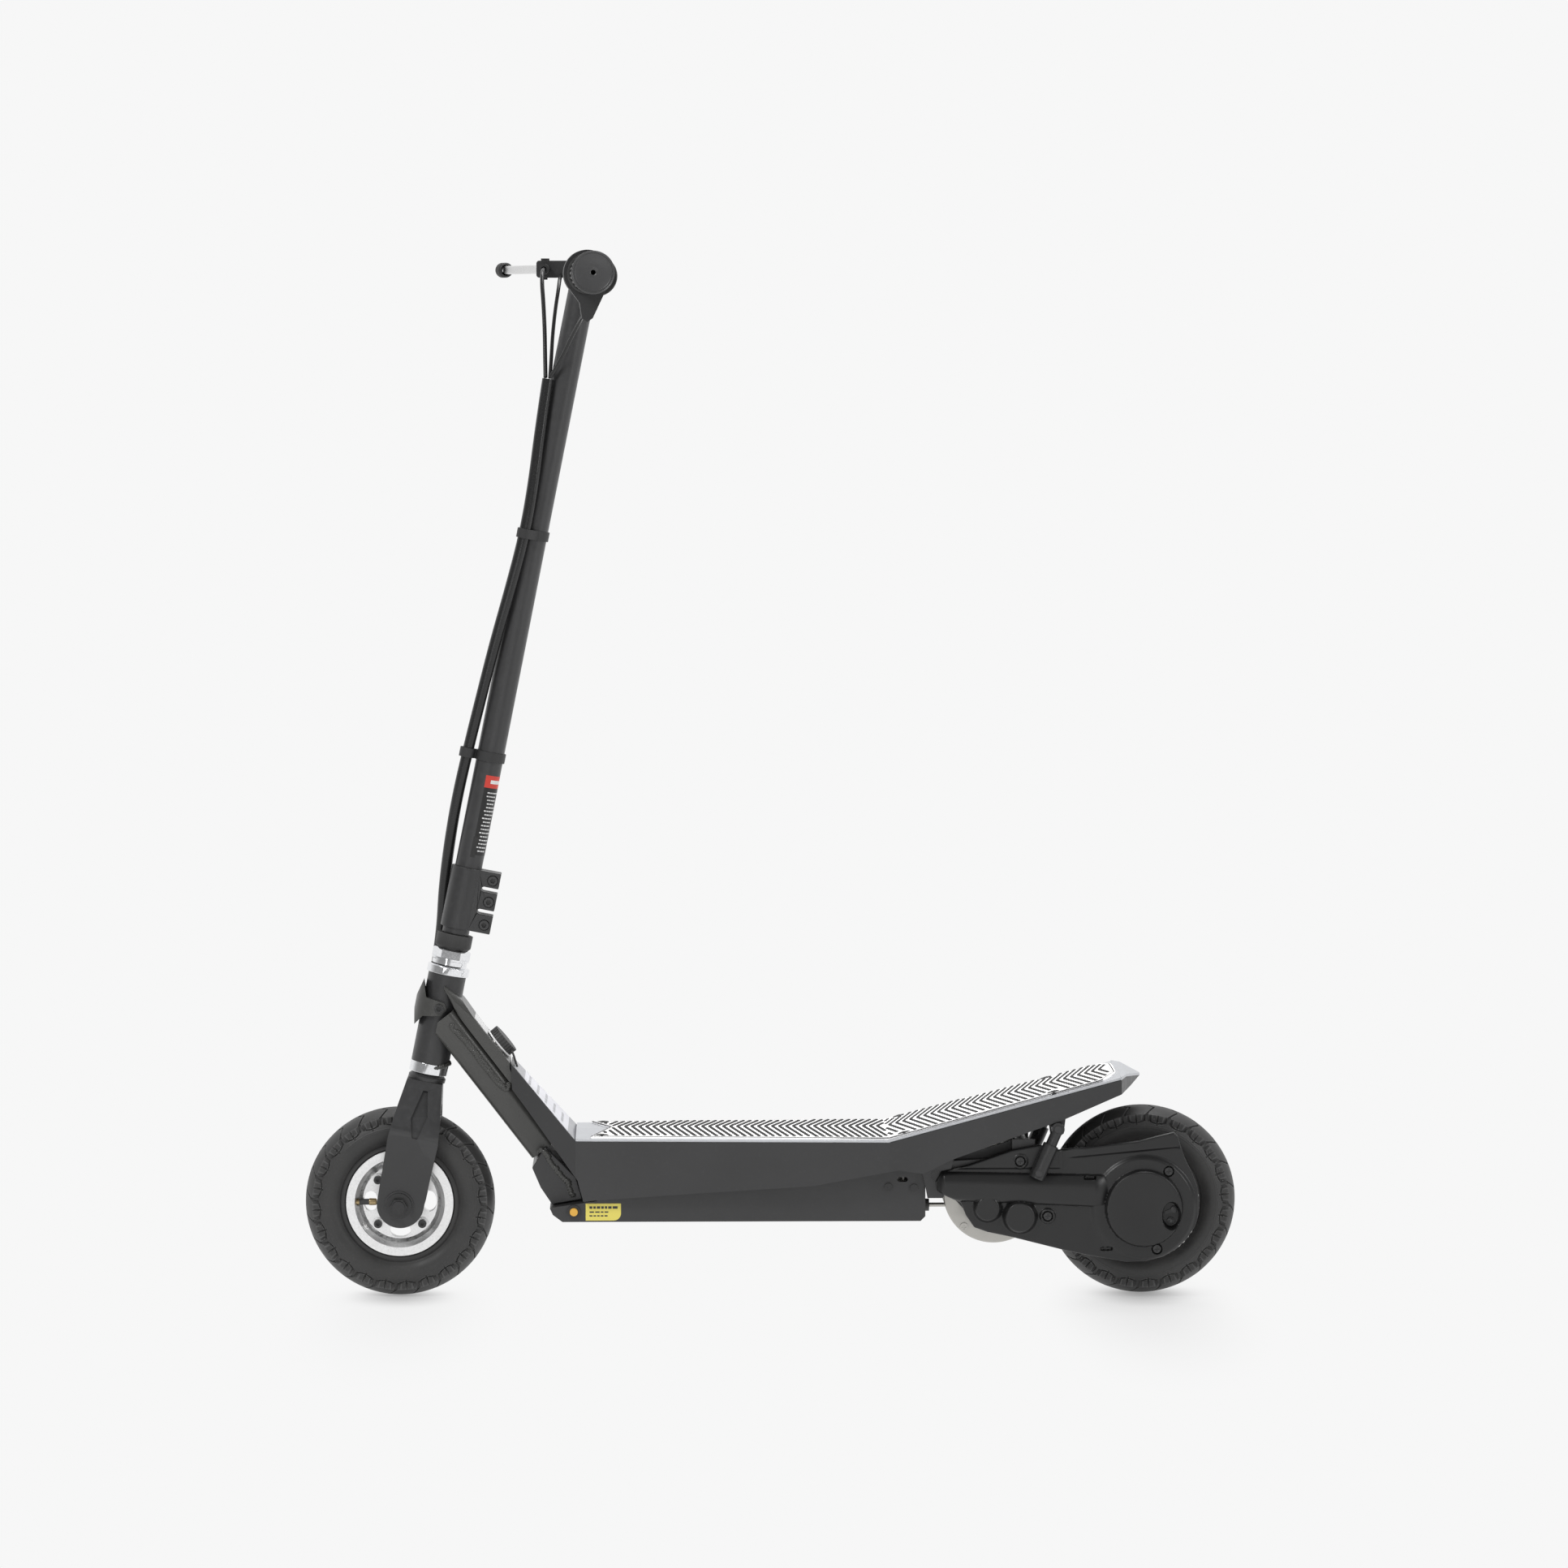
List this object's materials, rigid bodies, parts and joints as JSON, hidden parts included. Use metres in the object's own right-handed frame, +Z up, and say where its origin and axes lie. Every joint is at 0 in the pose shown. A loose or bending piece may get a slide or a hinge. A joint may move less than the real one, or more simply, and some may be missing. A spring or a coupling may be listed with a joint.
{
  "type": "electric kick scooter",
  "caption": "Small-wheeled stand-on electric scooter with a tall T bar, sloping deck over a battery tray and a chain-driven rear wheel on a sprung arm.",
  "frame": {"origin": "on the ground, half way between the axles, on the centre plane (the bounding box's bottom centre)", "axes": "+Z up; the front of the scooter points along -X; the chain side is -Y"},
  "size_m": [0.984, 0.4622, 1.1008],
  "materials": {
    "frame_paint": "satin black powder coat",
    "frame_olive": "satin dark grey paint",
    "chrome": "polished",
    "bright_steel": "zinc plated",
    "black_steel": "black oxide",
    "cast_alloy": "satin cast",
    "rim_alloy": "pale satin",
    "motor_alloy": "brushed",
    "tyre": "moulded",
    "tube_rubber": "matte, with a brass valve",
    "black_rubber": "matte",
    "black_plastic": "fine grain",
    "cable_black": "soft sheath",
    "deck_silver": "pale satin",
    "mat_grey": "pale grey with black studs",
    "button_yellow": "moulded",
    "battery_case": "moulded"
  },
  "bodies": {
    "frame": {"head_tube": "frame_paint", "down_tube": "frame_olive", "upper_neck": "frame_olive", "foot_casting": "frame_paint", "deck_frame": "frame_paint", "deck_plate": "deck_silver", "grip_pad": "mat_grey", "frame_screws": "black_steel", "battery_tray": "frame_paint", "batteries": "battery_case", "motor_controller": "motor_alloy", "reset_switch": "black_plastic", "motor_lead_grommet": "black_rubber", "charge_socket": "bright_steel", "headset_cups": "chrome", "guide_bracket": "frame_olive", "frame_loom": "cable_black", "pivot_bolt": "black_steel"},
    "steering": {"fork": "frame_paint", "front_axle": "black_steel", "headset_nuts": "chrome", "dust_ring": "black_rubber", "stem_tube": "frame_paint", "stem_clamp": "frame_paint", "clamp_bolts": "black_steel", "handlebar": "frame_paint", "bar_grips": "black_rubber", "throttle_housing": "black_plastic", "brake_perch": "black_plastic", "control_cables": "cable_black", "stem_loom": "cable_black", "loom_clips": "black_plastic"},
    "throttle": {"throttle_sleeve": "black_rubber"},
    "brake_lever": {"brake_lever": "cast_alloy"},
    "front_wheel": {"front_tyre": "tyre", "front_inner_tube": "tube_rubber", "front_rim_halves": "rim_alloy", "front_rim_bolts": "black_steel", "front_wheel_bearings": "bright_steel"},
    "swingarm": {"swingarm": "frame_paint", "rear_axle": "black_steel", "motor": "motor_alloy", "drive_chain": "bright_steel", "chain_guard": "black_plastic", "guard_screws": "black_steel", "brake_cover": "black_steel", "rear_brake_cable": "cable_black"},
    "rear_wheel": {"rear_tyre": "tyre", "rear_inner_tube": "tube_rubber", "rear_rim_halves": "rim_alloy", "rear_rim_bolts": "black_steel", "rear_wheel_bearings": "bright_steel", "wheel_sprocket": "bright_steel", "brake_drum": "bright_steel"},
    "motor_shaft": {"motor_pinion": "bright_steel"},
    "shock_rods": {"shock_rods": "black_steel"},
    "shock_sleeves": {"shock_sleeves": "black_steel"},
    "brake_arm": {"brake_arm": "bright_steel"},
    "reset_button": {"reset_button": "button_yellow"},
    "charge_cap": {"charge_cap": "black_rubber"}
  },
  "joints": [
    {"name": "steering_turn", "type": "hinge", "parent": "frame", "child": "steering", "pos_m": [-0.3895, 0, 0.1], "axis": [0.1959, 0, 0.9806], "range_deg": [-45, 45]},
    {"name": "front_wheel_spin", "type": "hinge", "parent": "steering", "child": "front_wheel", "pos_m": [-0.392, 0, 0.1], "axis": [0, 1, 0], "continuous": true},
    {"name": "throttle_twist", "type": "hinge", "parent": "steering", "child": "throttle", "pos_m": [-0.1944, -0.035, 1.0764], "axis": [-0.0541, 0.9985, 0], "range_deg": [0, 60], "stiffness_Nm_per_rad": 0.4, "springref_deg": -17.19},
    {"name": "brake_lever_pull", "type": "hinge", "parent": "steering", "child": "brake_lever", "pos_m": [-0.23792, 0.10045, 1.0824], "axis": [0, 0, -1], "range_deg": [0, 18], "stiffness_Nm_per_rad": 1.5, "springref_deg": -8.59},
    {"name": "swingarm_pivot", "type": "hinge", "parent": "frame", "child": "swingarm", "pos_m": [0.172, 0, 0.134], "axis": [0, -1, 0], "range_deg": [0, 4], "stiffness_Nm_per_rad": 900, "springref_deg": -2.86},
    {"name": "rear_wheel_spin", "type": "hinge", "parent": "swingarm", "child": "rear_wheel", "pos_m": [0.392, 0, 0.1], "axis": [0, 1, 0], "continuous": true},
    {"name": "motor_spin", "type": "hinge", "parent": "swingarm", "child": "motor_shaft", "pos_m": [0.234, 0, 0.111], "axis": [0, 1, 0], "continuous": true},
    {"name": "shock_rod_pivot", "type": "hinge", "parent": "frame", "child": "shock_rods", "pos_m": [0.299, 0, 0.184], "axis": [0, -1, 0], "range_deg": [-4.4, 0]},
    {"name": "shock_sleeve_pivot", "type": "hinge", "parent": "swingarm", "child": "shock_sleeves", "pos_m": [0.279, 0, 0.138], "axis": [0, -1, 0], "range_deg": [-8.4, 0]},
    {"name": "brake_arm_pull", "type": "hinge", "parent": "swingarm", "child": "brake_arm", "pos_m": [0.336, 0.062, 0.097], "axis": [0, -1, 0], "range_deg": [0, 11]},
    {"name": "reset_press", "type": "slide", "parent": "frame", "child": "reset_button", "axis": [0, 1, 0], "range_m": [0, 0.002], "stiffness_N_per_m": 400, "springref_m": -0.001},
    {"name": "charge_cap_pull", "type": "slide", "parent": "frame", "child": "charge_cap", "axis": [0.7705, 0, 0.6374], "range_m": [0, 0.02]}
  ],
  "couplings": [
    {"joint": "motor_spin", "follows": "rear_wheel_spin", "ratio": 5},
    {"joint": "shock_rod_pivot", "follows": "swingarm_pivot", "ratio": -1.03},
    {"joint": "shock_sleeve_pivot", "follows": "swingarm_pivot", "ratio": -2.03},
    {"joint": "brake_arm_pull", "follows": "brake_lever_pull", "ratio": 0.6}
  ]
}
